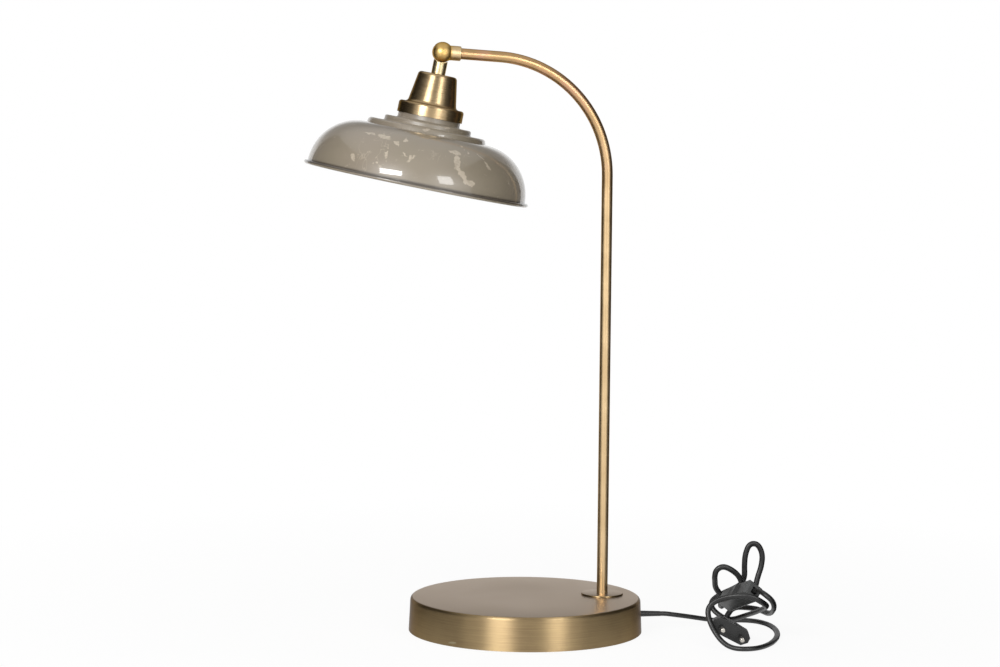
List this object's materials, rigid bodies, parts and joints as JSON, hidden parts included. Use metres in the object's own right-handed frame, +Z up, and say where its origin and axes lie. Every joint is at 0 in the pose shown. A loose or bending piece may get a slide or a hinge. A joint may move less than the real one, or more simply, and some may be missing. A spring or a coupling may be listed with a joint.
{
  "type": "table lamp",
  "caption": "Table lamp with a round weighted base, an arched tube, a tilting spun shade on a ball joint, and a mains cord with an in-line rocker switch and a flat plug.",
  "frame": {"origin": "centre of the base's underside, on the table", "axes": "+Z up, +X from the base's centre to the post's foot and the cord, so the arm reaches towards -X"},
  "size_m": [0.4141, 0.2275, 0.5133],
  "materials": {
    "aged_brass": "aged brass, brushed round, satin lacquer",
    "post_brass": "aged brass tube, satin, darker along its edges",
    "polished_brass": "polished brass",
    "cap_brass": "spun brass, brushed round",
    "enamel": "glossy grey-taupe enamel with lighter streaks",
    "cast_iron": "rough cast iron",
    "zinc_steel": "zinc plated steel",
    "felt": "black felt",
    "bakelite": "black moulded lampholder plastic",
    "insulator": "off-white insulating moulding",
    "contact_brass": "bare stamped brass",
    "washer_fibre": "red-brown fibre washer",
    "clamp_plastic": "white nylon cord clamp",
    "cord_black": "black flat PVC mains cord",
    "switch_black": "black moulded switch and plug bodies",
    "pin_metal": "nickel plated plug pins"
  },
  "bodies": {
    "base": {"base_shell": "aged_brass", "base_weight": "cast_iron", "base_plate": "zinc_steel", "base_pad": "felt", "base_lugs": "zinc_steel", "base_screws": "zinc_steel", "post_tube": "post_brass", "post_flange": "post_brass", "post_washer": "zinc_steel", "post_nut": "zinc_steel", "joint_ball": "polished_brass", "pivot_screw": "zinc_steel", "friction_washers": "washer_fibre", "cord_relief": "switch_black", "clamp_block": "clamp_plastic", "clamp_bar": "clamp_plastic", "clamp_screws": "zinc_steel", "switch_upper": "switch_black", "switch_lower": "switch_black", "switch_screws": "zinc_steel", "plug_body": "switch_black", "plug_pins": "pin_metal", "plug_sleeves": "switch_black", "plug_relief": "switch_black", "inner_cord": "cord_black", "cord_lead": "cord_black", "cord_coil": "cord_black", "cord_tail": "cord_black"},
    "head": {"head_neck": "polished_brass", "nipple": "zinc_steel", "cap_nut": "zinc_steel", "shade_cap": "cap_brass", "shade": "enamel", "holder_dome": "bakelite", "holder_skirt": "bakelite", "holder_insulator": "insulator", "terminal_screws": "contact_brass", "screw_shell": "contact_brass", "centre_contact": "contact_brass", "shade_ring_upper": "bakelite", "shade_ring_lower": "bakelite", "socket_leads": "cord_black"},
    "switch_rocker": {"rocker": "switch_black"}
  },
  "joints": [
    {"name": "head_tilt", "type": "hinge", "parent": "base", "child": "head", "pos_m": [-0.07739, 0, 0.50429], "axis": [0, 1, 0], "range_deg": [-12, 75]},
    {"name": "rocker_switch", "type": "hinge", "parent": "base", "child": "switch_rocker", "pos_m": [0.16937, -0.07797, 0.04223], "axis": [0.554, 0.4398, 0.7069], "range_deg": [0, 18]}
  ]
}
